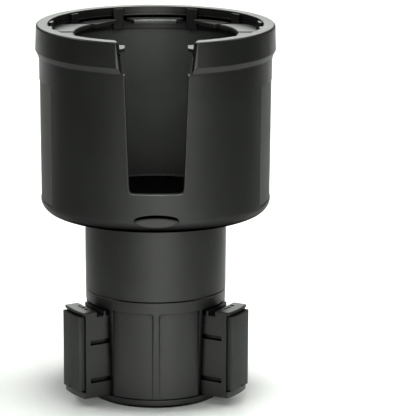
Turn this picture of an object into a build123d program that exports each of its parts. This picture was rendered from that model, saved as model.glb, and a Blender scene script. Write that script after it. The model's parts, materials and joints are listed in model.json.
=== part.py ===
from build123d import *
import os
from math import asin, cos, degrees, radians, sin, sqrt

os.makedirs("parts", exist_ok=True)

# Expanding car cup holder, in millimetres.
# It stands on Z = 0 with the cup's axis on Z, and the handle slot faces -Y.

# Base
foot_radius = 31.6  # base plate, and the housing where it meets the plate
collar_taper = 1.1  # how much wider the base is at its collar
collar_height = 5.4
edge_break = 0.4
foot_edge = 1.3  # chamfer around the underside
plate_thickness = 3.8
seam_height = 0.5  # shadow line between the plate and the housing
seam_depth = 0.6
housing_wall = 2.0
deck_thickness = 2.0
deck_gap = 0.4  # between the deck and the scroll disc
panel_depth = 1.25
panel_rib = 2.4  # upright rib between two panels
panel_slope = 0.45  # how far a panel's side slants
panel_end_angle = 37.9  # from the middle of its third of the base
panel_corner = 1.5
flat_inset = 2.15  # how far the flat at each foot lies inside the collar
flat_draft = 1.45  # how much further inside it lies at the bottom
rib_thickness = 1.6
boss_radius = 3.2

# Feet. Each is drawn along +X and turned to its own angle.
foot_angles = {"left": 210, "right": 330, "back": 90}
travel = 11.0  # how far a foot slides in from where it is spread
twist = 140.0  # how far the cup turns over that travel
arm_width = 18.0
arm_height = 41.1
arm_gap = 0.3  # around an arm in its slot
head_gap = 0.4  # over an arm, under the collar
arm_tail = 3.5  # inner end of the arm, from the pin
arm_overhang = 9.7  # face of the arm, out from the collar when spread
cap_overhang = 1.9  # rounded outer edge of the cap and of the foot flange, past the arm's face
cap_length = 7.6
cap_thickness = 1.4
cap_edge = 0.35
flange_thickness = 2.9
notch_depth = 2.6  # how far the arm lies below its cap
stop_rib_outset = 0.2  # outer face of the stop rib, past the collar
stop_rib_thickness = 1.1
core_width = 11.0  # hollow inside the arm
core_wall = 3.0
guide_low = 7.0  # guide grooves, above the arm's underside
guide_high = (25.2, 27.2)  # one side, then the other
guide_height = 2.3
guide_depth = 1.5
guide_wall = 2.4  # left between a guide groove's end and the arm's face
rail_gap = 0.25
rail_inner = 17.0
mark_radius = 1.0  # three small holes in the cap
mark_spacing = 3.1
mark_inset = 5.3  # from the cap's outer edge
mark_depth = 2.0
pad_proud = 1.8  # how far the pad stands out from the cap
pad_side_lip = 0.4  # thin wall of the arm beside the pad
pad_side_gap = 0.8
pad_end_gap = 0.6
pad_sunk = 1.5  # how deep the pad's pocket is in the arm's face
pad_notch = 1.3
pad_notch_depth = 3.5
pad_edge = 1.2

# Scroll disc under the cup, and what holds it to the base
pin_inset = 7.2  # from the scroll disc's edge, when spread
pin_radius = 1.5
pin_seat = 2.6
pin_gap = 0.35
scroll_depth = 2.6
scroll_gap = 0.5  # between the disc and the arms' caps
disc_side_gap = 0.5
pivot_radius = 5.45
pivot_gap = 0.05
hub_radius = 7.4
hub_room = 5.0  # between the hub and the walls of the foot channels
washer_radius = 8.0
washer_thickness = 1.2
washer_gap = 0.15
screw_radius = 1.4
screw_head_radius = 2.8
screw_head_height = 1.8
screw_length = 10.0
screw_play = 0.05
screw_head_play = 0.2
screw_slot_width = 0.8
screw_slot_depth = 0.9
base_screw_inset = 9.6  # from the base plate's edge
disc_screw_inset = 3.8  # from the scroll disc's edge
disc_boss_radius = 4.3
disc_boss_height = 13.0

# Cup
seam_gap = 0.3  # between the base and the neck
neck_height = 36.7
neck_proud = 0.3  # how far the neck stands out from the base's collar
neck_draft = 0.2
neck_wall = 2.4
neck_root = 1.0
floor_thickness = 3.0
access_radius = 12.0  # hole under the mat, for the pivot screw
cup_radius = 53.6
cup_draft = 0.3
cup_wall = 3.1
cup_depth = 84.0
cup_round = 6.0
cup_inner_round = 2.2
mat_thickness = 1.5
mat_edge = 0.4
mat_gap = 0.3
slot_top_half = 14.5
slot_bottom_half = 12.0
slot_sill = 15.6  # the slot's lower edge above the cup's floor
slot_corner = 2.0
slot_edge = 0.5
grip_half_angle = 27.0
grip_depth = 0.3
grip_top = 59.0  # above the cup's floor
grip_corner = 4.0
dimple_width = 19.2
dimple_arch = 1.3
dimple_depth = 1.4
dimple_top = 4.8  # the arch's ends above the cup's floor
dimple_tilt = 9.5

# Rim
rim_height = 14.8
rim_overhang = 1.3  # past the cup
rim_flare = 0.4
rim_band = 5.3  # width of the top face
rim_edge = 0.9
rim_tuck = 3.3  # height of the slanted lower edge
rim_lip = 0.3  # how far the lower edge stands out from the cup
rim_lip_height = 0.6
rim_play = 0.1
rim_top_thickness = 4.1
spigot_wall = 1.75
belt_height = 10.6  # inner skirt, down from the top face
post_depth = 1.7
post_drop = 0.6  # from the top face down to the posts' tops
post_width = 4.9
posts = (21.1, 51.2, 81.0, 99.0, 128.8)  # from the back, on both sides
gap_bottom_half = 14.6
gap_top_half = 16.4
gap_corner = 2.4
gap_bevel = 1.8
gap_bevel_width = 1.6
gap_band_width = 1.5  # narrow facet outside the bevel

# Grip flaps. They lie between the cup's edge and the rim, and pass through windows between the posts.
side_flap_length = 12.2  # inward from the rim's inner wall, also for the front flaps
rear_flap_length = 10.0
back_flap_length = 8.0
flap_thickness = 1.5
flap_nose = 2.0  # height of the thicker tip
flap_nose_length = 2.6
flap_round = 0.9
flap_step = 1.1  # how much lower the three flaps at the back lie
flap_gap = 0.3
root_inset = 1.0  # degrees from a window's end to its flap's root
back_root_half = 14.3
back_tip_half = 9.8
rear_side = 4.0  # length of a rear flap's short side, near the back
side_far = 22.5  # a side flap runs between these two, measured from the X axis
side_near = 1.5
front_edge = 14.0  # a front flap ends here, beside the handle slot
front_corner_at = 43.0  # and its cut corner starts this far forward
front_corner_run = 5.7
front_corner_rise = 6.6
front_end = 43.5  # its other end, in degrees from the front
sill_thickness = 0.6  # small ledge over a flap's window
sill_depth = 0.7

# Levels and radii that follow from the sizes above
collar_radius = foot_radius + collar_taper
collar_inner = collar_radius - housing_wall
disc_radius = collar_inner - disc_side_gap
pin_at = disc_radius - pin_inset
arm_inner = pin_at - arm_tail
arm_face = collar_radius + arm_overhang
neck_radius = collar_radius + neck_proud
base_screw_at = foot_radius - base_screw_inset
disc_screw_at = disc_radius - disc_screw_inset
arm_bottom = plate_thickness + arm_gap
arm_top = arm_bottom + arm_height
arm_deck = arm_top - notch_depth
collar_bottom = arm_top + head_gap
base_top = collar_bottom + collar_height
neck_bottom = base_top + seam_gap
cup_bottom = neck_bottom + neck_height
cup_floor = cup_bottom + floor_thickness
rim_top = cup_floor + cup_depth
rim_bottom = rim_top - rim_height
rim_radius = cup_radius + rim_overhang
rim_inner = rim_radius - rim_band
belt_bottom = rim_top - belt_height
belt_inner = rim_inner - post_depth
spigot_inner = cup_radius - spigot_wall
belt_outer = spigot_inner - rim_play
cup_low_radius = cup_radius - cup_draft
cup_inner_radius = cup_radius - cup_wall
rim_ceiling = rim_top - rim_top_thickness
high_flap_top = rim_ceiling
low_flap_top = rim_ceiling - flap_step
spigot_top = low_flap_top - flap_thickness
side_reach = rim_inner - side_flap_length
rear_reach = rim_inner - rear_flap_length
back_reach = rim_inner - back_flap_length
flap_root = cup_radius - flap_gap
post_half_angle = degrees(asin((post_width / 2 + flap_gap) / belt_inner))
cap_reach = arm_face + cap_overhang
cap_inner = cap_reach - cap_length
pad_reach = cap_reach + pad_proud
pad_seat = arm_face - pad_sunk
pad_width = arm_width - 2 * pad_side_lip - 2 * pad_side_gap
guide_end = arm_face - guide_wall
mark_at = cap_reach - mark_inset
stop_rib_outer = collar_radius + stop_rib_outset
shell_inner = foot_radius - seam_depth - housing_wall + edge_break
disc_bottom = arm_top + scroll_gap
deck_top = disc_bottom - deck_gap
flat_top = collar_radius - flat_inset
flat_bottom = flat_top - flat_draft
slot_half = arm_width / 2 + arm_gap
wall_half = slot_half + rib_thickness
wall_inner = hub_radius + hub_room
rail_outer = guide_end - travel - arm_gap
pivot_top = neck_bottom + washer_gap
base_count = len(foot_angles)
back_angle = foot_angles["back"]
first_foot = back_angle
first_middle = first_foot + 180 / base_count
far = 2 * rim_radius  # longer than anything that a cut has to pass
guides = ((1, guide_low), (-1, guide_low), (1, guide_high[0]), (-1, guide_high[1]))
UP = (Align.CENTER, Align.CENTER, Align.MIN)


def polar(radius, angle):
    return (radius * cos(radians(angle)), radius * sin(radians(angle)))


def ring_sector(inner, outer, start, end):
    with BuildSketch() as shape:
        with BuildLine():
            outside = CenterArc((0, 0), outer, start, end - start)
            inside = CenterArc((0, 0), inner, start, end - start)
            Line(outside @ 0, inside @ 0)
            Line(outside @ 1, inside @ 1)
        make_face()
    return shape.sketch


def revolved(*points):
    with BuildPart() as turned:
        with BuildSketch(Plane.XZ):
            with BuildLine():
                Polyline(*points, close=True)
            make_face()
        revolve(axis=Axis.Z)
    return turned.part


def export(piece, name):
    piece.part.label = name
    export_step(piece.part, f"parts/{name}.step")


# Base plate, with the hub post that the cup turns on
with BuildPart() as base_plate:
    add(
        revolved(
            (0, 0),
            (foot_radius - foot_edge, 0),
            (foot_radius, foot_edge),
            (foot_radius, plate_thickness),
            (hub_radius, plate_thickness),
            (hub_radius, disc_bottom - washer_gap),
            (pivot_radius, disc_bottom - washer_gap),
            (pivot_radius, pivot_top),
            (0, pivot_top),
        )
    )
    with Locations((0, 0, pivot_top)):
        Hole(screw_radius, depth=screw_length + edge_break)
    with PolarLocations(base_screw_at, base_count, start_angle=first_middle):
        Cylinder(screw_radius + screw_head_play, plate_thickness, align=UP, mode=Mode.SUBTRACT)
        Cylinder(
            screw_head_radius + screw_head_play,
            screw_head_height + screw_head_play,
            align=UP,
            mode=Mode.SUBTRACT,
        )
export(base_plate, "base_plate")

# Housing: shell, deck and foot channels, then the cuts that shape its outside
with BuildPart() as panel_cutter:
    with BuildSketch(Plane.XY.offset(plate_thickness + seam_height)):
        with BuildLine():
            panel_radius = collar_radius - panel_depth
            panel_start = degrees(asin((panel_rib / 2 + panel_slope) / panel_radius))
            past = collar_radius + 2 * panel_depth
            floor_arc = CenterArc((0, 0), panel_radius, panel_start, panel_end_angle - panel_start)
            rib_side = Line(floor_arc @ 0, (past, panel_rib / 2 - 2 * panel_slope))
            end_side = Line(floor_arc @ 1, polar(past, panel_end_angle + 1))
            Line(rib_side @ 1, end_side @ 1)
        make_face()
    extrude(amount=collar_bottom - plate_thickness - seam_height)
    rib_corner = panel_cutter.edges().group_by(Axis.Z)[-1].sort_by(Axis.Y)[0]
    fillet(rib_corner, panel_corner)

with BuildPart() as flat_cutter:
    with BuildSketch(Plane.XZ):
        with BuildLine():
            Polyline(
                (flat_bottom, plate_thickness),
                (flat_top, collar_bottom),
                (far, collar_bottom),
                (far, plate_thickness),
                close=True,
            )
        make_face()
    extrude(amount=collar_radius, both=True)

with BuildPart() as base_housing:
    add(
        revolved(
            (shell_inner, plate_thickness),
            (foot_radius - seam_depth, plate_thickness),
            (foot_radius - seam_depth, plate_thickness + seam_height),
            (foot_radius, plate_thickness + seam_height),
            (collar_radius, collar_bottom),
            (collar_radius, base_top - edge_break),
            (collar_radius - edge_break, base_top),
            (collar_inner, base_top),
            (collar_inner, deck_top),
            (shell_inner, deck_top),
        )
    )
    with BuildSketch(Plane.XY.offset(deck_top)):
        Circle(shell_inner + edge_break)
    extrude(amount=-deck_thickness)
    with BuildSketch(Plane.XY.offset(plate_thickness)):
        with PolarLocations(0, base_count, start_angle=first_foot):
            with Locations(((wall_inner + shell_inner) / 2, 0)):
                Rectangle(shell_inner - wall_inner, 2 * wall_half)
    extrude(amount=deck_top - plate_thickness)
    with BuildSketch(Plane.XY.offset(plate_thickness)):
        with PolarLocations(base_screw_at, base_count, start_angle=first_middle):
            Circle(boss_radius)
            with Locations(((shell_inner - base_screw_at) / 2, 0)):
                Rectangle(shell_inner - base_screw_at + edge_break, rib_thickness)
    extrude(amount=deck_top - plate_thickness)
    with PolarLocations(0, base_count, start_angle=first_foot):
        add(flat_cutter.part, mode=Mode.SUBTRACT)
    with PolarLocations(0, base_count, start_angle=first_middle):
        add(panel_cutter.part, mode=Mode.SUBTRACT)
        add(mirror(panel_cutter.part, about=Plane.XZ, mode=Mode.PRIVATE), mode=Mode.SUBTRACT)
    with BuildSketch(Plane.XY.offset(plate_thickness)):
        with PolarLocations(0, base_count, start_angle=first_foot):
            with Locations((far / 2, 0)):
                Rectangle(far, 2 * slot_half)
    extrude(amount=collar_bottom - plate_thickness, mode=Mode.SUBTRACT)
    rail_tip = arm_width / 2 - guide_depth + rail_gap
    for side, guide in guides:
        with BuildSketch(Plane.XY.offset(arm_bottom + guide + rail_gap)):
            with PolarLocations(0, base_count, start_angle=first_foot):
                with Locations(((rail_inner + rail_outer) / 2, side * (rail_tip + wall_half) / 2)):
                    Rectangle(rail_outer - rail_inner, wall_half - rail_tip)
        extrude(amount=guide_height - 2 * rail_gap)
    with Locations(Plane.XY.offset(plate_thickness)):
        with PolarLocations(base_screw_at, base_count, start_angle=first_middle):
            Cylinder(screw_radius, screw_length, align=UP, mode=Mode.SUBTRACT)
export(base_housing, "base_housing")


# Screws: a domed head with a cross recess on a plain shank, head up, seat at Z = 0
with BuildPart() as screw:
    Cylinder(screw_head_radius, screw_head_height, align=UP)
    fillet(screw.edges().group_by(Axis.Z)[-1], screw_head_height / 2)
    with Locations((0, 0, screw_head_height)):
        for turn in (0, 90):
            Box(
                2 * screw_radius,
                screw_slot_width,
                2 * screw_slot_depth,
                rotation=(0, 0, turn),
                mode=Mode.SUBTRACT,
            )
    Cylinder(
        screw_radius - screw_play,
        screw_length - screw_head_height,
        align=(Align.CENTER, Align.CENTER, Align.MAX),
    )

with BuildPart() as base_screws:
    head_seat = screw_head_height + screw_head_play
    with Locations(Plane((0, 0, head_seat), x_dir=(1, 0, 0), z_dir=(0, 0, -1))):
        with PolarLocations(base_screw_at, base_count, start_angle=-first_middle):
            add(screw.part)
export(base_screws, "base_screws")

with BuildPart() as pivot_washer:
    Cylinder(washer_radius, washer_thickness, align=UP)
    Hole(screw_radius)
    chamfer(pivot_washer.edges().group_by(Axis.Z)[-1].sort_by(SortBy.RADIUS)[-1], edge_break)
pivot_washer.part.position = (0, 0, pivot_top)
export(pivot_washer, "pivot_washer")

with BuildPart() as pivot_screw:
    with Locations((0, 0, pivot_top + washer_thickness)):
        add(screw.part)
export(pivot_screw, "pivot_screw")

# Foot arm, along +X
with BuildPart() as arm:
    with BuildSketch(Plane.XZ):
        with BuildLine():
            Polyline(
                (arm_inner, arm_bottom),
                (arm_face, arm_bottom),
                (arm_face, arm_top),
                (cap_inner, arm_top),
                (cap_inner, arm_deck),
                (arm_inner, arm_deck),
                close=True,
            )
        make_face()
    extrude(amount=arm_width / 2, both=True)
    for level, thickness in ((arm_bottom, flange_thickness), (arm_top - cap_thickness, cap_thickness)):
        with BuildSketch(Plane.XY.offset(level)):
            Circle(cap_reach)
            with Locations(((cap_inner + pad_reach) / 2, 0)):
                Rectangle(pad_reach - cap_inner, arm_width, mode=Mode.INTERSECT)
        extrude(amount=thickness)
    pad_floor = arm_bottom + flange_thickness
    pad_ceiling = arm_top - cap_thickness
    with BuildSketch(Plane.XY.offset(pad_floor)):
        with Locations(((pad_seat + pad_reach) / 2, 0)):
            Rectangle(pad_reach - pad_seat, pad_width + 2 * pad_side_gap)
    extrude(amount=pad_ceiling - pad_floor, mode=Mode.SUBTRACT)
    fillet(arm.faces().sort_by(Axis.Z)[-1].edges(), cap_edge)
    with BuildSketch(Plane.XY.offset(arm_deck)):
        with Locations((stop_rib_outer - stop_rib_thickness / 2, 0)):
            Rectangle(stop_rib_thickness, arm_width)
    extrude(amount=arm_top - arm_deck - cap_edge)
    for side, guide in guides:
        with BuildSketch(Plane.XY.offset(arm_bottom + guide)):
            with Locations(((arm_inner + guide_end) / 2, side * (arm_width - guide_depth) / 2)):
                Rectangle(guide_end - arm_inner, guide_depth)
        extrude(amount=guide_height, mode=Mode.SUBTRACT)
    with BuildSketch(Plane.YZ.offset(arm_inner)):
        with Locations((0, (arm_bottom + arm_deck) / 2)):
            Rectangle(core_width, arm_deck - arm_bottom - 2 * core_wall)
    extrude(amount=pad_seat - core_wall - arm_inner, mode=Mode.SUBTRACT)
    with Locations((mark_at, 0, arm_top)):
        with GridLocations(0, mark_spacing, 1, 3):
            Hole(mark_radius, depth=mark_depth)
    with Locations((pin_at, 0, arm_deck)):
        Hole(pin_radius, depth=pin_seat)

# Rubber pad on the arm's face, with a small moulding notch in its lower edge
with BuildPart() as pad:
    with BuildSketch(Plane.XY.offset(pad_floor + pad_end_gap)):
        Circle(pad_reach)
        with Locations(((pad_seat + far) / 2, 0)):
            Rectangle(far - pad_seat, pad_width, mode=Mode.INTERSECT)
    extrude(amount=pad_ceiling - pad_floor - 2 * pad_end_gap)
    fillet(pad.edges().filter_by(Axis.Z).group_by(Axis.X)[-1], pad_edge)
    with Locations((pad_reach, 0, pad_floor + pad_end_gap)):
        Cylinder(pad_notch, 2 * pad_notch_depth, rotation=(0, 90, 0), mode=Mode.SUBTRACT)

# Steel pin that runs in the scroll's groove
pin_length = pin_seat + notch_depth + scroll_gap + scroll_depth - head_gap
with BuildPart() as pin:
    with Locations((pin_at, 0, arm_deck - pin_seat)):
        Cylinder(pin_radius, pin_length, align=UP)
    chamfer(pin.edges().group_by(Axis.Z)[-1], edge_break / 2)

for side, angle in foot_angles.items():
    for name, blank in (("foot_arm", arm), ("foot_pad", pad), ("cam_pin", pin)):
        with BuildPart() as placed:
            add(blank.part, rotation=(0, 0, angle))
        export(placed, f"{name}_{side}")


# Scroll disc: as the cup turns by the twist, each pin moves in by the travel
def scroll_point(share, foot_angle, offset):
    """A point of the groove, offset square to it. Share 0 is its inner end, 1 its outer end."""
    slope = travel / radians(twist)
    radius = pin_at - travel * (1 - share)
    angle = radians(foot_angle - twist * (1 - share))
    length = sqrt(radius**2 + slope**2)
    across = radius + offset * radius / length
    along = -offset * slope / length
    return (across * cos(angle) - along * sin(angle), across * sin(angle) + along * cos(angle))


with BuildPart() as scroll_disc:
    with Locations((0, 0, disc_bottom)):
        Cylinder(disc_radius, neck_bottom - disc_bottom, align=UP)
    chamfer(scroll_disc.edges().group_by(Axis.Z)[0], edge_break)
    with BuildSketch(Plane.XY.offset(disc_bottom)):
        groove_half = pin_radius + pin_gap
        steps = 12
        shares = [step / steps for step in range(steps + 1)]
        for foot_angle in foot_angles.values():
            with BuildLine():
                outer = Spline([scroll_point(share, foot_angle, groove_half) for share in shares])
                inner = Spline([scroll_point(share, foot_angle, -groove_half) for share in shares])
                Line(outer @ 0, inner @ 0)
                Line(outer @ 1, inner @ 1)
            make_face()
            with Locations(scroll_point(0, foot_angle, 0), scroll_point(1, foot_angle, 0)):
                Circle(groove_half)
    extrude(amount=scroll_depth, mode=Mode.SUBTRACT)
    with BuildSketch(Plane.XY.offset(disc_bottom)):
        Circle(pivot_radius + pivot_gap)
    extrude(amount=neck_bottom - disc_bottom, mode=Mode.SUBTRACT)
    with Locations(Plane.XY.offset(disc_bottom)):
        with PolarLocations(disc_screw_at, base_count, start_angle=first_middle):
            Cylinder(
                screw_head_radius + screw_head_play,
                screw_head_height + screw_head_play,
                align=UP,
                mode=Mode.SUBTRACT,
            )
            Cylinder(
                screw_radius + screw_head_play,
                neck_bottom - disc_bottom,
                align=UP,
                mode=Mode.SUBTRACT,
            )
export(scroll_disc, "scroll_disc")

with BuildPart() as scroll_screws:
    head_seat = disc_bottom + screw_head_height + screw_head_play
    with Locations(Plane((0, 0, head_seat), x_dir=(1, 0, 0), z_dir=(0, 0, -1))):
        with PolarLocations(disc_screw_at, base_count, start_angle=-first_middle):
            add(screw.part)
export(scroll_screws, "scroll_screws")

# Cup and neck, one moulding
neck_inner = neck_radius - neck_draft - neck_wall
step_radius = cup_inner_radius - cup_draft
with BuildPart() as cup_shell:
    with BuildSketch(Plane.XZ):
        with BuildLine():
            neck_line = Line((neck_radius - neck_draft, neck_bottom), (neck_radius, cup_bottom - neck_root))
            root_arc = RadiusArc(neck_line @ 1, (neck_radius + neck_root, cup_bottom), neck_root)
            underside = Line(root_arc @ 1, (cup_low_radius - cup_round, cup_bottom))
            round_arc = RadiusArc(underside @ 1, (cup_low_radius, cup_bottom + cup_round), -cup_round)
            Polyline(
                round_arc @ 1,
                (cup_radius, rim_bottom),
                (cup_radius, spigot_top),
                (spigot_inner, spigot_top),
                (spigot_inner, belt_bottom - rim_play),
                (cup_inner_radius, belt_bottom - rim_play),
                (step_radius, cup_floor + cup_inner_round),
            )
            RadiusArc(
                (step_radius, cup_floor + cup_inner_round),
                (step_radius - cup_inner_round, cup_floor),
                cup_inner_round,
            )
            Polyline(
                (step_radius - cup_inner_round, cup_floor),
                (access_radius, cup_floor),
                (access_radius, cup_bottom),
                (neck_inner, cup_bottom),
                (neck_inner, neck_bottom),
                neck_line @ 0,
            )
        make_face()
    revolve(axis=Axis.Z)
    with Locations(Plane.XY.offset(neck_bottom)):
        with PolarLocations(disc_screw_at, base_count, start_angle=first_middle):
            Cylinder(disc_boss_radius, disc_boss_height, align=UP)
            Cylinder(screw_radius, screw_length, align=UP, mode=Mode.SUBTRACT)
    slot_bottom = cup_floor + slot_sill
    with BuildSketch(Plane.XZ):
        with BuildLine():
            Polyline(
                (-slot_bottom_half, slot_bottom),
                (slot_bottom_half, slot_bottom),
                (slot_top_half, rim_top),
                (-slot_top_half, rim_top),
                close=True,
            )
        make_face()
        fillet(vertices().group_by(Axis.Y)[0], slot_corner)
    extrude(amount=far, mode=Mode.SUBTRACT)

    # Rounded edges of the slot
    slot_edges = [
        edge
        for edge in cup_shell.edges().filter_by_position(Axis.Z, slot_bottom - slot_corner, rim_bottom)
        if edge.center().Y < dimple_width - cup_low_radius
        and abs(edge.center().X) < slot_top_half + slot_edge
        and edge.length > slot_corner
    ]
    fillet(slot_edges, slot_edge)

    # Above the rim's lower edge the slot is as wide as the rim's gap
    with BuildSketch(Plane.XZ):
        Polygon(
            (-gap_bottom_half, rim_bottom),
            (gap_bottom_half, rim_bottom),
            (gap_top_half, rim_top),
            (-gap_top_half, rim_top),
            align=None,
        )
    extrude(amount=far, mode=Mode.SUBTRACT)

    # Thumb dimple, on a plane that leans back
    dimple_apex = cup_floor + dimple_top + dimple_arch
    lean = radians(dimple_tilt)
    dimple_plane = Plane(
        (0, dimple_depth - cup_low_radius, dimple_apex),
        x_dir=(1, 0, 0),
        z_dir=(0, -cos(lean), sin(lean)),
    )
    with BuildSketch(dimple_plane):
        with BuildLine():
            arch = ThreePointArc(
                (-dimple_width / 2, -dimple_arch),
                (0, 0),
                (dimple_width / 2, -dimple_arch),
            )
            Polyline(
                arch @ 1,
                (dimple_width / 2, -dimple_width),
                (-dimple_width / 2, -dimple_width),
                arch @ 0,
            )
        make_face()
    extrude(amount=cup_round, mode=Mode.SUBTRACT)

    # Shallow grip areas on both sides
    with BuildPart(mode=Mode.PRIVATE) as grip_cutter:
        with BuildSketch(Plane.XZ):
            with BuildLine():
                Polyline(
                    (cup_low_radius - grip_depth, cup_bottom + cup_round),
                    (cup_radius - grip_depth, cup_floor + grip_top),
                    (far, cup_floor + grip_top),
                    (far, cup_bottom + cup_round),
                    close=True,
                )
            make_face()
        revolve(axis=Axis.Z, revolution_arc=2 * grip_half_angle)
        fillet(
            grip_cutter.edges().filter_by(GeomType.LINE).group_by(Axis.Z)[-1],
            grip_corner,
        )
    for turn in (-grip_half_angle, 180 - grip_half_angle):
        add(grip_cutter.part, rotation=(0, 0, turn), mode=Mode.SUBTRACT)
export(cup_shell, "cup_shell")

# Mat on the cup's floor
with BuildPart() as floor_mat:
    with Locations((0, 0, cup_floor)):
        Cylinder(step_radius - cup_inner_round - mat_gap, mat_thickness, align=UP)
    chamfer(floor_mat.edges().group_by(Axis.Z)[-1], mat_edge)
export(floor_mat, "floor_mat")


# Flap outlines, seen from above, for the right-hand side. Angles count from the back.
def window(before, after, level):
    """The opening in the rim between two posts: where it starts and ends, and its flap's level."""
    return (back_angle - after + post_half_angle, back_angle - before - post_half_angle, level)


def trimmed(outline, opening, reach):
    """A flap's outline, kept clear of the posts and of the rim's inner wall beside its window."""
    start, end, level = opening
    with BuildSketch() as shape:
        Circle(belt_inner - flap_gap)
        add(ring_sector(reach, flap_root, start + root_inset, end - root_inset))
        Circle(reach, mode=Mode.SUBTRACT)
        add(outline, mode=Mode.INTERSECT)
    return shape.sketch


tip_at = sqrt(back_reach**2 - back_tip_half**2)
with BuildSketch() as back_outline:
    Polygon(
        (-back_tip_half, 0),
        (-back_tip_half, tip_at),
        (-back_root_half, belt_inner),
        (-back_root_half, far),
        (back_root_half, far),
        (back_root_half, belt_inner),
        (back_tip_half, tip_at),
        (back_tip_half, 0),
        align=None,
    )
with BuildSketch() as rear_outline:
    Polygon(
        polar(belt_inner - rear_side, back_angle - posts[0] - post_half_angle),
        polar(far, back_angle - posts[0]),
        polar(far, back_angle - posts[1]),
        polar(rear_reach, back_angle - posts[1] + 2 * post_half_angle),
        align=None,
    )
with BuildSketch() as side_outline:
    with Locations((far / 2, (side_far + side_near) / 2)):
        Rectangle(far, side_far - side_near)
with BuildSketch() as front_outline:
    Polygon(
        (front_edge, 0),
        (front_edge, -front_corner_at),
        (front_edge + front_corner_run, -front_corner_at - front_corner_rise),
        (far, -far),
        polar(far, front_end - back_angle),
        (0, 0),
        align=None,
    )

back_window = window(-posts[0], posts[0], low_flap_top)
rear_window = window(posts[0], posts[1], low_flap_top)
side_rear_window = window(posts[1], posts[2], high_flap_top)
side_front_window = window(posts[3], posts[4], high_flap_top)
front_window = window(posts[4], 180, high_flap_top)
side_mirrored = mirror(side_outline.sketch, about=Plane.XZ, mode=Mode.PRIVATE)
paired = {
    "rear": (rear_outline.sketch, rear_window, rear_reach),
    "side_rear": (side_outline.sketch, side_rear_window, side_reach),
    "side_front": (side_mirrored, side_front_window, side_reach),
    "front": (front_outline.sketch, front_window, side_reach),
}
flaps = {"grip_flap_back": (trimmed(back_outline.sketch, back_window, back_reach), low_flap_top, back_reach)}
for name, (outline, opening, reach) in paired.items():
    right = trimmed(outline, opening, reach)
    left = mirror(right, about=Plane.YZ, mode=Mode.PRIVATE)
    flaps[f"grip_flap_{name}_right"] = (right, opening[2], reach)
    flaps[f"grip_flap_{name}_left"] = (left, opening[2], reach)

for name, (outline, level, reach) in flaps.items():
    with BuildPart() as flap:
        with BuildSketch(Plane.XY.offset(level)):
            add(outline)
        extrude(amount=-flap_thickness)
        with BuildSketch(Plane.XY.offset(level)):
            add(outline)
            Circle(reach + flap_nose_length, mode=Mode.INTERSECT)
        extrude(amount=-flap_nose)
        top_edges = flap.edges().group_by(Axis.Z)[-1].filter_by(GeomType.CIRCLE)
        fillet(top_edges.sort_by(SortBy.RADIUS)[0], flap_round)
    export(flap, name)

# Rim: a C-shaped collar over the cup's edge
with BuildPart() as rim_ring:
    rim_low_radius = rim_radius + rim_flare
    with BuildSketch(Plane.XZ):
        with BuildLine():
            top_arc = RadiusArc(
                (rim_radius - rim_edge, rim_top),
                (rim_radius, rim_top - rim_edge),
                rim_edge,
            )
            Polyline(
                top_arc @ 1,
                (rim_low_radius, rim_bottom + rim_tuck),
                (cup_radius + rim_lip, rim_bottom + rim_lip_height),
                (cup_radius + rim_lip, rim_bottom),
                (cup_radius + rim_play, rim_bottom),
                (cup_radius + rim_play, rim_ceiling),
                (belt_outer, rim_ceiling),
                (belt_outer, belt_bottom),
                (rim_inner, belt_bottom),
                (rim_inner, rim_top),
                top_arc @ 0,
            )
        make_face()
    revolve(axis=Axis.Z)
    with BuildSketch(Plane.XY.offset(belt_bottom)):
        for post in posts:
            for angle in (back_angle - post, back_angle + post):
                with Locations(Location((0, 0, 0), (0, 0, angle))):
                    with Locations(((belt_inner + belt_outer - rim_play) / 2, 0)):
                        Rectangle(belt_outer - rim_play - belt_inner, post_width)
    extrude(amount=belt_height - post_drop)
    openings = [back_window]
    for start, end, level in (rear_window, side_rear_window, side_front_window, front_window):
        openings += [(start, end, level), (2 * back_angle - end, 2 * back_angle - start, level)]
    with BuildSketch(Plane.XY.offset(rim_ceiling)):
        for start, end, level in openings:
            add(ring_sector(rim_inner - sill_depth, belt_outer, start, end))
    extrude(amount=sill_thickness)
    for start, end, level in openings:
        with BuildSketch(Plane.XY.offset(level - flap_thickness)):
            add(ring_sector(belt_inner, (belt_outer + cup_radius) / 2, start, end))
        extrude(amount=rim_ceiling - level + flap_thickness, mode=Mode.SUBTRACT)

    # Gap over the handle slot, with rounded upper corners and bevelled outer edges
    with BuildSketch(Plane.XZ):
        with BuildLine():
            right = Line((gap_bottom_half, rim_bottom), (gap_top_half, rim_top - gap_corner))
            right_arc = RadiusArc(right @ 1, (gap_top_half + gap_corner, rim_top), gap_corner)
            Line(right @ 0, (-gap_bottom_half, rim_bottom))
            left = Line((-gap_bottom_half, rim_bottom), (-gap_top_half, rim_top - gap_corner))
            left_arc = RadiusArc(left @ 1, (-gap_top_half - gap_corner, rim_top), -gap_corner)
            Line(left_arc @ 1, right_arc @ 1)
        make_face()
    extrude(amount=far, mode=Mode.SUBTRACT)
    for side in (1, -1):
        with BuildPart(mode=Mode.PRIVATE) as bevel_cutter:
            for level, half in ((rim_bottom, gap_bottom_half), (rim_top, gap_top_half)):
                corner = half + gap_bevel_width
                edge = corner + gap_band_width
                surface = sqrt(rim_low_radius**2 - edge**2)
                with BuildSketch(Plane.XY.offset(level)):
                    Polygon(
                        (side * (half - gap_bevel_width), 2 * gap_bevel - surface),
                        (side * corner, -surface),
                        (side * (edge + gap_band_width), -surface - edge_break / 2),
                        (side * (edge + gap_band_width), -surface - gap_bevel),
                        (side * (half - gap_bevel_width), -surface - gap_bevel),
                        align=None,
                    )
            loft()
        add(bevel_cutter.part, mode=Mode.SUBTRACT)
export(rim_ring, "rim_ring")
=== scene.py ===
import json
from math import cos, pi, radians, sin, tan
import bpy
from mathutils import Matrix, Vector

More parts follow.
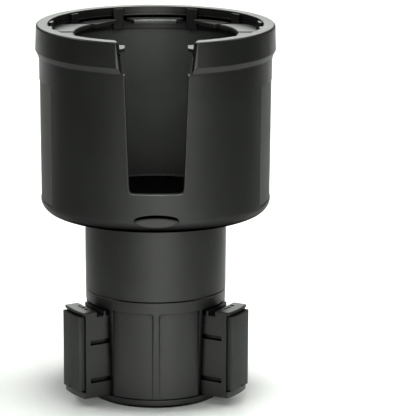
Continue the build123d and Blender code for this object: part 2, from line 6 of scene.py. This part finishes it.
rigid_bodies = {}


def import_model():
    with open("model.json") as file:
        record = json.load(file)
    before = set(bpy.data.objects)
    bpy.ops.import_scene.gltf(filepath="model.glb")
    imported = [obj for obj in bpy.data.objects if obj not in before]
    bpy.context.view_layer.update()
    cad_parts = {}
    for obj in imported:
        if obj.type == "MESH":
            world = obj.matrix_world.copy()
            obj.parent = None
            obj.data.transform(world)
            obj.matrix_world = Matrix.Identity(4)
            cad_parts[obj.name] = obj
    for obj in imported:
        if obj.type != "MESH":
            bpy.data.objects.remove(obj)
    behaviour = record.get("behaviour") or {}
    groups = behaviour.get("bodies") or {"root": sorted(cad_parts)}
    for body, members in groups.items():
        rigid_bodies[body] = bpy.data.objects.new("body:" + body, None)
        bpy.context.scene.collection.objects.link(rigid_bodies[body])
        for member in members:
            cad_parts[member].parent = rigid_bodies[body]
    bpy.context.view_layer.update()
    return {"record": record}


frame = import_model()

# Camera: the photograph's viewing angle, with a long lens
camera_place = (-0.008, -1.15, 0.366)
camera_yaw = -1.614  # degrees, as the two below
camera_pitch = 13.594  # down
camera_roll = 0.286
camera_lens = 219.5  # mm
camera_sensor = 36  # mm

# Studio
light_color = (0.97, 1.0, 0.955)
world_strength = 0.03
floor_half_width = 6
floor_shade = (0.86, 0.86, 0.86, 1)

# Areas of the cup, in metres from the part's origin
grip_half_angle = 27  # degrees to both sides of the cup's middle
grip_bottom, grip_top = 0.0940, 0.1500
outer_face_radius = 0.0522  # everything outside of it is on the outer face
inner_face_radius = 0.0508  # everything inside of it is on the inner face
inside_bottom = 0.0915  # just above the cup's floor
wall_low_fade = (0.0950, 0.1250)  # heights between which the inner wall goes from painted shade near the floor to its pale colour
wall_high_fade = (0.1350, 0.1650)  # and between which painted shade darkens it again towards the top, down to the share below
wall_top_share = 0.45
round_fade = (0.0896, 0.0936)  # heights between which the round under the cup leaves its painted shade
round_curve = 1.8
neck_top = 0.0878
dimple_half_width, dimple_half_height = 0.0102, 0.0030
dimple_middle = 0.0943  # height
dimple_share = 0.72  # of the colour and gloss that the cup beside it has: painted shade in the dimple
scoop_half_width = 0.0122  # the dimple's painted dark crescent lies above this second ellipse
scoop_middle = 0.0927

# Materials
# black: the colour of the painted shade in crevices and under the cup
black = (0, 0, 0, 1)
# how far the painted shade in grooves and corners reaches
crevice_reach = 0.0032
dull_range = (0.30, 0.85)  # how open a spot is where its gloss begins, and where it is full
usual_noise = (0.35, 0.65)  # the range that most of a noise lies in


def turned(angle, axis):
    return Matrix.Rotation(radians(angle), 3, axis)


camera_data = bpy.data.cameras.new("camera")
camera_data.sensor_width = camera_sensor
camera_data.lens = camera_lens
camera = bpy.data.objects.new("camera", camera_data)
camera.location = camera_place
camera_turn = turned(camera_yaw, "Z") @ turned(90 - camera_pitch, "X") @ turned(camera_roll, "Z")
camera.rotation_euler = camera_turn.to_euler()
bpy.context.collection.objects.link(camera)
bpy.context.scene.camera = camera


def panel(name, place, size, radiance, spread=180, aim=(0, 0, 0.1)):
    """A soft panel. A spread under 180 degrees gives it a grid, so that it lights little beside what it faces."""
    half = radians(spread / 2)
    gathered = (tan(half) - half) / tan(half) if spread < 180 else 1  # keeps the radiance along the axis
    data = bpy.data.lights.new(name, "AREA")
    data.shape = "RECTANGLE"
    data.size, data.size_y = size
    data.spread = 2 * half
    data.energy = radiance * pi * size[0] * size[1] * gathered
    data.color = light_color
    light = bpy.data.objects.new(name, data)
    light.location = place
    light.rotation_euler = (Vector(aim) - Vector(place)).to_track_quat("-Z", "Y").to_euler()
    bpy.context.collection.objects.link(light)


def around(azimuth, elevation, distance, height=0.1):
    """A place seen from the part. Azimuth 0 is the camera's side, and 90 the right."""
    flat = distance * cos(radians(elevation))
    return (
        flat * sin(radians(azimuth)),
        -flat * cos(radians(azimuth)),
        height + distance * sin(radians(elevation)),
    )


# Name, place, size, radiance, spread and aim. The last five light the floor.
panel("front", around(8, 13, 2.2), (1.8, 0.9), 6.6)
panel("behind", around(180, 24, 2.8), (1.2, 1.3), 3.3)
panel("over", (0.025, 0.05, 0.6), (0.20, 0.9), 40, 44, (0.025, 0.05, 0))
panel("over_front", (0.03, -0.72, 1.6), (0.8, 0.8), 104, 20, (0.03, -0.72, 0))
panel("over_back", (-0.02, 1.1, 1.6), (1.4, 1.5), 118, 20, (-0.02, 1.1, 0))
panel("left_foot", around(-105, 45, 0.9, 0), (0.3, 0.3), 16, 26, (-0.03, -0.03, 0))
panel("right_foot", around(105, 45, 0.9, 0), (0.3, 0.3), 14, 26, (0.03, -0.03, 0))

world = bpy.data.worlds.new("studio")
world.use_nodes = True
background = world.node_tree.nodes["Background"]
background.inputs["Color"].default_value = (1, 1, 1, 1)
background.inputs["Strength"].default_value = world_strength
bpy.context.scene.world = world
bpy.context.scene.view_settings.view_transform = "Standard"


class Nodes:
    """A material's node tree, with short ways to add and join nodes."""

    def __init__(self, name):
        self.material = bpy.data.materials.new(name)
        self.material.use_nodes = True
        self.tree = self.material.node_tree
        self.shader = self.tree.nodes["Principled BSDF"]

    def add(self, kind, **values):
        node = self.tree.nodes.new("ShaderNode" + kind)
        for key, value in values.items():
            setattr(node, key, value)
        return node

    def feed(self, socket, value):
        """Links a socket to another, or sets it to a number or colour."""
        if isinstance(value, bpy.types.NodeSocket):
            self.tree.links.new(value, socket)
        else:
            socket.default_value = value

    def own_place(self):
        """The piece's own coordinates."""
        return self.add("TexCoord").outputs["Object"]

    def noise(self, scale, detail=3.0, rough=0.55, stretch=(1, 1, 1)):
        mapping = self.add("Mapping")
        self.feed(mapping.inputs["Vector"], self.own_place())
        mapping.inputs["Scale"].default_value = stretch
        node = self.add("TexNoise")
        self.feed(node.inputs["Vector"], mapping.outputs["Vector"])
        node.inputs["Scale"].default_value = scale
        node.inputs["Detail"].default_value = detail
        node.inputs["Roughness"].default_value = rough
        return node.outputs["Fac"]

    def remap(self, value, low, high, to_low=0, to_high=1):
        node = self.add("MapRange")
        self.feed(node.inputs["Value"], value)
        for name, number in (("From Min", low), ("From Max", high), ("To Min", to_low), ("To Max", to_high)):
            node.inputs[name].default_value = number
        return node.outputs["Result"]

    def math(self, operation, first, second):
        node = self.add("Math", operation=operation)
        self.feed(node.inputs[0], first)
        self.feed(node.inputs[1], second)
        return node.outputs["Value"]

    def plus(self, first, second):
        return self.math("ADD", first, second)

    def times(self, first, second):
        return self.math("MULTIPLY", first, second)

    def most(self, first, second):
        return self.math("MAXIMUM", first, second)

    def below(self, value, limit):
        return self.math("LESS_THAN", value, limit)

    def above(self, value, limit):
        return self.math("GREATER_THAN", value, limit)

    def mix(self, factor, first, second):
        """A colour between two colours. Sockets 6 and 7 are the mix node's colours, and output 2 the result."""
        node = self.add("Mix", data_type="RGBA")
        self.feed(node.inputs["Factor"], factor)
        self.feed(node.inputs[6], first)
        self.feed(node.inputs[7], second)
        return node.outputs[2]

    def blend(self, factor, first, second):
        """A number between two numbers. Sockets 2 and 3 are the mix node's numbers, and output 0 the result."""
        node = self.add("Mix", data_type="FLOAT")
        self.feed(node.inputs["Factor"], factor)
        self.feed(node.inputs[2], first)
        self.feed(node.inputs[3], second)
        return node.outputs[0]

    def mottled(self, noise, color, dark=0.84, pale=1.18):
        """A colour that drifts between a darker and a paler shade of itself."""
        shades = (tuple(share * part for part in color) + (1,) for share in (dark, pale))
        return self.mix(self.remap(noise, *usual_noise), *shades)

    def crevice(self):
        """One on open surfaces, falling to zero deep in grooves and corners: the mask for the painted shade
        there.
        """
        node = self.add("AmbientOcclusion", samples=8)
        node.inputs["Distance"].default_value = crevice_reach
        return node.outputs["AO"]

    def shaded(self, color, curve, specular):
        """A colour and a specular level for open surfaces, with both falling to nothing in crevices: painted
        shade there.
        """
        opened = self.crevice()
        color = self.mix(self.math("POWER", opened, curve), black, color)
        return color, self.remap(opened, *dull_range, 0, specular)

    def rounded(self, radius):
        node = self.add("Bevel", samples=6)
        node.inputs["Radius"].default_value = radius
        return node.outputs["Normal"]

    def bump(self, height, distance, strength=1.0, under=None):
        node = self.add("Bump")
        self.feed(node.inputs["Height"], height)
        node.inputs["Distance"].default_value = distance
        node.inputs["Strength"].default_value = strength
        if under is not None:
            self.feed(node.inputs["Normal"], under)
        return node.outputs["Normal"]

    def finish(self, color, roughness, normal, specular=0.5):
        self.feed(self.shader.inputs["Base Color"], color)
        self.feed(self.shader.inputs["Roughness"], roughness)
        self.feed(self.shader.inputs["Normal"], normal)
        self.feed(self.shader.inputs["Specular IOR Level"], specular)
        return self.material


def cup_areas(n):
    """Masks on the cup: the matte grip areas at its sides, where a painted sheen goes, its inside, how pale the
    inside wall is painted, with painted shade low and high on it, and how far a spot is out of the painted shade
    on the round under the cup.
    That painted shade leaves out the thumb dimple, which has its own painted dark crescent at the top, and the
    inside and the neck."""
    axes = n.add("SeparateXYZ")
    n.feed(axes.inputs["Vector"], n.own_place())
    x, y, z = (axes.outputs[axis] for axis in "XYZ")
    x_squared = n.times(x, x)
    y_squared = n.times(y, y)
    from_axis = n.plus(x_squared, y_squared)

    beside = n.below(y_squared, n.times(x_squared, tan(radians(grip_half_angle)) ** 2))
    outside = n.above(from_axis, outer_face_radius**2)
    level = n.times(n.above(z, grip_bottom), n.below(z, grip_top))
    grip = n.times(n.times(beside, outside), level)

    inside = n.times(n.below(from_axis, inner_face_radius**2), n.above(z, inside_bottom))
    # painted shade on the inner wall: darker near the floor and towards the top
    pale = n.times(n.remap(z, *wall_low_fade), n.remap(z, *wall_high_fade, 1, wall_top_share))

    def ellipse(half_width, middle, soft):
        x_share = n.times(x_squared, 1 / half_width**2)
        z_off = n.math("SUBTRACT", z, middle)
        z_share = n.times(n.times(z_off, z_off), 1 / dimple_half_height**2)
        return n.remap(n.plus(x_share, z_share), soft, 1.05, 1, 0)

    # painted shade under the cup's round and in the thumb dimple, with a painted dark crescent at the dimple's
    # top
    round_out_of_painted_shade = n.math("POWER", n.remap(z, *round_fade), round_curve)
    dimple = n.times(ellipse(dimple_half_width, dimple_middle, 0.95), n.below(y, 0))
    dimple_out_of_painted_shade = n.times(ellipse(scoop_half_width, scoop_middle, 0.55), dimple_share)
    elsewhere = n.most(n.below(z, neck_top), inside)
    out_of_painted_shade = n.most(n.blend(dimple, round_out_of_painted_shade, dimple_out_of_painted_shade), elsewhere)
    return grip, inside, pale, out_of_painted_shade


def plastic(name, color, roughness, edge=0.0004, grip=None, lining=None):
    """Black moulded plastic: faint cloudiness, fine grain, flow streaks and a few rubbed spots, with painted
    shade in grooves and corners.
    The cup's plastic also has colours for its grip areas, paler as a painted sheen, and its inside wall, with
    painted shade low and high on it, and painted shade under its round and at the dimple's top."""
    n = Nodes(name)
    cloud = n.noise(45, 4)
    grain = n.noise(2600, 2)
    rubbed = n.noise(900, 3, 0.6)
    streak = n.noise(70, 3, 0.6, (1, 1, 0.08))
    base = n.mottled(cloud, color)
    rough = n.remap(cloud, 0.3, 0.7, roughness - 0.02, roughness + 0.03)
    rough = n.plus(rough, n.remap(rubbed, 0.5, 0.75, 0, 0.05))
    rough = n.plus(rough, n.remap(streak, *usual_noise, -0.012, 0.012))
    if grip:
        sides, inside, pale, out_of_painted_shade = cup_areas(n)
        # the grip areas: a paler colour, a painted sheen standing for the grazing reflection off their matte
        # finish
        base = n.mix(sides, base, n.mottled(n.noise(1400, 4, 0.7), grip, 0.88, 1.12))
        rough = n.blend(sides, rough, 0.55)
        # deep: the inside wall's painted shade colour, with its paler colour between
        deep = tuple(0.4 * part for part in lining) + (1,)
        base = n.mix(inside, base, n.mix(pale, deep, n.mottled(cloud, lining)))
        rough = n.blend(inside, rough, 0.5)
    # painted shade: the colour goes black and the gloss dull in grooves and corners
    base, specular = n.shaded(base, 3, 0.5)
    if grip:
        # painted shade: colour and gloss fall away under the cup's round and at the dimple's top
        base = n.mix(out_of_painted_shade, black, base)
        specular = n.times(specular, out_of_painted_shade)
    return n.finish(base, rough, n.bump(grain, 0.00002, 0.6, n.rounded(edge)), specular)


def rubber(name, color, roughness, open_specular=0.4):
    """Soft black rubber with a fine, uneven grain, and painted shade in its grooves and corners."""
    n = Nodes(name)
    grain = n.noise(1500, 4, 0.7)
    rough = n.remap(grain, 0.3, 0.7, roughness - 0.06, roughness + 0.06)
    # painted shade: the colour goes black and the gloss dull in grooves and corners
    base, specular = n.shaded(n.mottled(n.noise(60, 4), color, 0.8, 1.25), 2, open_specular)
    return n.finish(base, rough, n.bump(grain, 0.00006, 0.7, n.rounded(0.0004)), specular)


def steel(name):
    """Plain steel with faint turning marks."""
    n = Nodes(name)
    marks = n.noise(1800, 2)
    base = n.mix(n.noise(200, 3), (0.42, 0.42, 0.43, 1), (0.62, 0.62, 0.63, 1))
    n.shader.inputs["Metallic"].default_value = 1.0
    return n.finish(base, n.remap(marks, 0.3, 0.7, 0.24, 0.42), n.bump(marks, 0.00001))


looks = {
    "cup_plastic": plastic(
        "cup_plastic",
        (0.0062, 0.0068, 0.0059),
        0.38,
        # paler grip colour: painted sheen
        grip=(0.058, 0.061, 0.056),
        lining=(0.056, 0.0592, 0.0547),
    ),
    "rim_plastic": plastic("rim_plastic", (0.0060, 0.0066, 0.0057), 0.36),
    "base_plastic": plastic("base_plastic", (0.0062, 0.0068, 0.0059), 0.38, edge=0.0003),
    "disc_plastic": plastic("disc_plastic", (0.0200, 0.0200, 0.0200), 0.45),
    "pad_rubber": rubber("pad_rubber", (0.0150, 0.0162, 0.0145), 0.62),
    "flap_rubber": rubber("flap_rubber", (0.0120, 0.0125, 0.0115), 0.42, 0.7),
    # a black foam mat, made darker than such foam is, painting the deep shade on the cup's floor
    "mat_rubber": rubber("mat_rubber", (0.0004, 0.0004, 0.0004), 0.95, 0.01),
    "steel": steel("steel"),
}
for entry in frame["record"]["subparts"]:
    for slot in bpy.data.objects[entry["node"]].material_slots:
        slot.material = looks[entry["material_slot"]]

# Floor: plain and pale
floor_mesh = bpy.data.meshes.new("floor")
corners = [(x * floor_half_width, y * floor_half_width, 0) for x, y in ((-1, -1), (1, -1), (1, 1), (-1, 1))]
floor_mesh.from_pydata(corners, [], [(0, 1, 2, 3)])
floor = bpy.data.objects.new("floor", floor_mesh)
bpy.context.collection.objects.link(floor)
paint = Nodes("floor")
floor_mesh.materials.append(paint.finish(floor_shade, 0.6, paint.bump(paint.noise(300), 0.00002, 0.2), 0.1))
